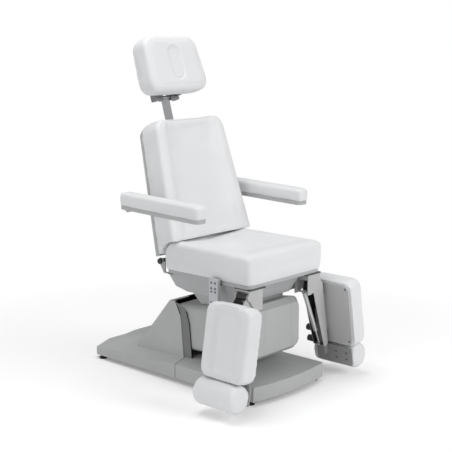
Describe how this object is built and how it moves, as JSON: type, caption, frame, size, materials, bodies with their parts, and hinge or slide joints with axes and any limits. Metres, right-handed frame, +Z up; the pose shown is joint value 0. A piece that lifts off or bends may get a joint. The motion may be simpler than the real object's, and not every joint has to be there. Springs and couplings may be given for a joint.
{
  "type": "podiatry chair",
  "caption": "Electric podiatry chair with a lifting column, tilting seat, reclining back, sliding headrest, fold-up armrests and swivelling leg rests.",
  "frame": {"origin": "on the floor, under the middle of the chair's outer box", "axes": "+Z up, the sitter faces -Y, +X to the sitter's left"},
  "size_m": [1.0446, 1.259, 1.7133],
  "materials": {
    "upholstery": "matte artificial leather",
    "cover_grey": "satin moulded covers",
    "frame_grey": "powder coat",
    "arm_grey": "satin paint",
    "steel": "brushed",
    "black_plastic": "matte",
    "black_rubber": "matte",
    "motor_black": "satin",
    "handset_grey": "matte",
    "button_grey": "matte"
  },
  "bodies": {
    "base": {"base_front_cover": "cover_grey", "base_rear_cover": "cover_grey", "lift_hood": "cover_grey", "base_frame": "frame_grey", "levelling_feet": "black_rubber", "column_outer_tube": "steel", "lift_motor": "motor_black"},
    "column_middle": {"column_middle_tube": "steel"},
    "lift": {"column_inner_tube": "steel", "lift_carriage": "frame_grey", "lift_cover": "cover_grey", "lift_cover_ends": "cover_grey", "turret_cover": "cover_grey"},
    "tilt_actuator_body": {"tilt_actuator": "motor_black"},
    "tilt_actuator_stem": {"tilt_actuator_rod": "steel"},
    "seat": {"seat_frame": "frame_grey", "seat_tray": "cover_grey", "seat_cushion": "upholstery", "back_hinge_pins": "black_plastic"},
    "back_actuator_body": {"back_actuator": "motor_black"},
    "back_actuator_stem": {"back_actuator_rod": "steel"},
    "backrest": {"back_frame": "frame_grey", "back_rear_cover": "cover_grey", "back_cushion": "upholstery"},
    "headrest_slide": {"headrest_bar": "steel"},
    "headrest": {"headrest_bracket": "frame_grey", "headrest_cushion": "upholstery"},
    "handset_body": {"handset": "handset_grey"},
    "button_1_cap": {"button_1": "button_grey"},
    "button_2_cap": {"button_2": "button_grey"},
    "button_3_cap": {"button_3": "button_grey"},
    "button_4_cap": {"button_4": "button_grey"},
    "button_5_cap": {"button_5": "button_grey"},
    "button_6_cap": {"button_6": "button_grey"},
    "button_7_cap": {"button_7": "button_grey"},
    "button_8_cap": {"button_8": "button_grey"},
    "left_armrest": {"left_armrest_shell": "cover_grey", "left_armrest_pad": "upholstery"},
    "left_swivel": {"left_swivel_bracket": "arm_grey"},
    "left_leg": {"left_leg_arm": "arm_grey", "left_calf_plate": "arm_grey", "left_calf_pad": "upholstery"},
    "left_gas_body": {"left_gas_cylinder": "motor_black"},
    "left_gas_stem": {"left_gas_rod": "steel"},
    "left_foot": {"left_foot_bar": "steel", "left_foot_pad": "upholstery"},
    "left_upper_knob_body": {"left_upper_knob": "black_plastic"},
    "left_lower_knob_body": {"left_lower_knob": "black_plastic"},
    "right_armrest": {"right_armrest_shell": "cover_grey", "right_armrest_pad": "upholstery"},
    "right_swivel": {"right_swivel_bracket": "arm_grey"},
    "right_leg": {"right_leg_arm": "arm_grey", "right_calf_plate": "arm_grey", "right_calf_pad": "upholstery"},
    "right_gas_body": {"right_gas_cylinder": "motor_black"},
    "right_gas_stem": {"right_gas_rod": "steel"},
    "right_foot": {"right_foot_bar": "steel", "right_foot_pad": "upholstery"},
    "right_upper_knob_body": {"right_upper_knob": "black_plastic"},
    "right_lower_knob_body": {"right_lower_knob": "black_plastic"}
  },
  "joints": [
    {"name": "lift_height", "type": "slide", "parent": "base", "child": "lift", "axis": [0, 0, 1], "range_m": [0, 0.3]},
    {"name": "column_middle_slide", "type": "slide", "parent": "base", "child": "column_middle", "axis": [0, 0, 1], "range_m": [0, 0.15]},
    {"name": "seat_tilt", "type": "hinge", "parent": "lift", "child": "seat", "pos_m": [0, -0.01, 0.5], "axis": [-1, 0, 0], "range_deg": [0, 12]},
    {"name": "tilt_actuator_pivot", "type": "hinge", "parent": "lift", "child": "tilt_actuator_body", "pos_m": [0, -0.3, 0.332], "axis": [-1, 0, 0], "range_deg": [-4, 4]},
    {"name": "tilt_actuator_stroke", "type": "slide", "parent": "tilt_actuator_body", "child": "tilt_actuator_stem", "axis": [0, 0, 1], "range_m": [0, 0.064]},
    {"name": "back_recline", "type": "hinge", "parent": "seat", "child": "backrest", "pos_m": [0, 0.108, 0.612], "axis": [-1, 0, 0], "range_deg": [0, 70]},
    {"name": "back_actuator_pivot", "type": "hinge", "parent": "seat", "child": "back_actuator_body", "pos_m": [0, -0.19, 0.505], "axis": [-1, 0, 0], "range_deg": [-4, 4]},
    {"name": "back_actuator_stroke", "type": "slide", "parent": "back_actuator_body", "child": "back_actuator_stem", "axis": [0, -0.9825, -0.1864], "range_m": [0, 0.072]},
    {"name": "headrest_height", "type": "slide", "parent": "backrest", "child": "headrest_slide", "axis": [0, 0.2756, 0.9613], "range_m": [-0.06, 0.11]},
    {"name": "headrest_tilt", "type": "hinge", "parent": "headrest_slide", "child": "headrest", "pos_m": [0, 0.33938, 1.40078], "axis": [-1, 0, 0], "range_deg": [-30, 40]},
    {"name": "handset_lift_off", "type": "slide", "parent": "seat", "child": "handset_body", "axis": [0, 0, 1], "range_m": [0, 0.03]},
    {"name": "button_1_press", "type": "slide", "parent": "handset_body", "child": "button_1_cap", "axis": [1, 0, 0], "range_m": [0, 0.0012], "stiffness_N_per_m": 400},
    {"name": "button_2_press", "type": "slide", "parent": "handset_body", "child": "button_2_cap", "axis": [1, 0, 0], "range_m": [0, 0.0012], "stiffness_N_per_m": 400},
    {"name": "button_3_press", "type": "slide", "parent": "handset_body", "child": "button_3_cap", "axis": [1, 0, 0], "range_m": [0, 0.0012], "stiffness_N_per_m": 400},
    {"name": "button_4_press", "type": "slide", "parent": "handset_body", "child": "button_4_cap", "axis": [1, 0, 0], "range_m": [0, 0.0012], "stiffness_N_per_m": 400},
    {"name": "button_5_press", "type": "slide", "parent": "handset_body", "child": "button_5_cap", "axis": [1, 0, 0], "range_m": [0, 0.0012], "stiffness_N_per_m": 400},
    {"name": "button_6_press", "type": "slide", "parent": "handset_body", "child": "button_6_cap", "axis": [1, 0, 0], "range_m": [0, 0.0012], "stiffness_N_per_m": 400},
    {"name": "button_7_press", "type": "slide", "parent": "handset_body", "child": "button_7_cap", "axis": [1, 0, 0], "range_m": [0, 0.0012], "stiffness_N_per_m": 400},
    {"name": "button_8_press", "type": "slide", "parent": "handset_body", "child": "button_8_cap", "axis": [1, 0, 0], "range_m": [0, 0.0012], "stiffness_N_per_m": 400},
    {"name": "left_armrest_fold", "type": "hinge", "parent": "backrest", "child": "left_armrest", "pos_m": [0.375, 0.19054, 0.8817], "axis": [-1, 0, 0], "range_deg": [0, 100]},
    {"name": "left_leg_swivel", "type": "hinge", "parent": "seat", "child": "left_swivel", "pos_m": [0.215, -0.44, 0.552], "axis": [0, 0, -1], "range_deg": [0, 90]},
    {"name": "left_leg_raise", "type": "hinge", "parent": "left_swivel", "child": "left_leg", "pos_m": [0.26, -0.44, 0.522], "axis": [0, -1, 0], "range_deg": [0, 80]},
    {"name": "left_gas_pivot", "type": "hinge", "parent": "left_swivel", "child": "left_gas_body", "pos_m": [0.195, -0.44, 0.462], "axis": [0, -1, 0], "range_deg": [0, 78]},
    {"name": "left_gas_stroke", "type": "slide", "parent": "left_gas_body", "child": "left_gas_stem", "axis": [0.413, 0, -0.9107], "range_m": [0, 0.112]},
    {"name": "left_foot_length", "type": "slide", "parent": "left_leg", "child": "left_foot", "axis": [0.1668, 0, -0.986], "range_m": [0, 0.11]},
    {"name": "left_upper_knob_turn", "type": "hinge", "parent": "left_leg", "child": "left_upper_knob_body", "pos_m": [0.33429, -0.37, 0.2387], "axis": [0, 1, 0], "continuous": true},
    {"name": "left_lower_knob_turn", "type": "hinge", "parent": "left_leg", "child": "left_lower_knob_body", "pos_m": [0.34452, -0.37, 0.17822], "axis": [0, 1, 0], "continuous": true},
    {"name": "right_armrest_fold", "type": "hinge", "parent": "backrest", "child": "right_armrest", "pos_m": [-0.375, 0.19054, 0.8817], "axis": [-1, 0, 0], "range_deg": [0, 100]},
    {"name": "right_leg_swivel", "type": "hinge", "parent": "seat", "child": "right_swivel", "pos_m": [-0.215, -0.44, 0.552], "axis": [0, 0, 1], "range_deg": [0, 90]},
    {"name": "right_leg_raise", "type": "hinge", "parent": "right_swivel", "child": "right_leg", "pos_m": [-0.26, -0.44, 0.522], "axis": [0, 1, 0], "range_deg": [0, 80]},
    {"name": "right_gas_pivot", "type": "hinge", "parent": "right_swivel", "child": "right_gas_body", "pos_m": [-0.195, -0.44, 0.462], "axis": [0, 1, 0], "range_deg": [0, 78]},
    {"name": "right_gas_stroke", "type": "slide", "parent": "right_gas_body", "child": "right_gas_stem", "axis": [-0.413, 0, -0.9107], "range_m": [0, 0.112]},
    {"name": "right_foot_length", "type": "slide", "parent": "right_leg", "child": "right_foot", "axis": [-0.1668, 0, -0.986], "range_m": [0, 0.11]},
    {"name": "right_upper_knob_turn", "type": "hinge", "parent": "right_leg", "child": "right_upper_knob_body", "pos_m": [-0.33429, -0.37, 0.2387], "axis": [0, 1, 0], "continuous": true},
    {"name": "right_lower_knob_turn", "type": "hinge", "parent": "right_leg", "child": "right_lower_knob_body", "pos_m": [-0.34452, -0.37, 0.17822], "axis": [0, 1, 0], "continuous": true}
  ],
  "couplings": [
    {"joint": "column_middle_slide", "follows": "lift_height", "ratio": 0.5},
    {"joint": "tilt_actuator_pivot", "follows": "seat_tilt", "ratio": 0.27486},
    {"joint": "tilt_actuator_stroke", "follows": "seat_tilt", "m_per_rad": 0.28535},
    {"joint": "back_actuator_pivot", "follows": "back_recline", "ratio": -0.0026222},
    {"joint": "back_actuator_stroke", "follows": "back_recline", "m_per_rad": 0.056332},
    {"joint": "left_gas_pivot", "follows": "left_leg_raise", "ratio": 0.93042},
    {"joint": "left_gas_stroke", "follows": "left_leg_raise", "m_per_rad": 0.077146},
    {"joint": "right_gas_pivot", "follows": "right_leg_raise", "ratio": 0.93042},
    {"joint": "right_gas_stroke", "follows": "right_leg_raise", "m_per_rad": 0.077146}
  ]
}
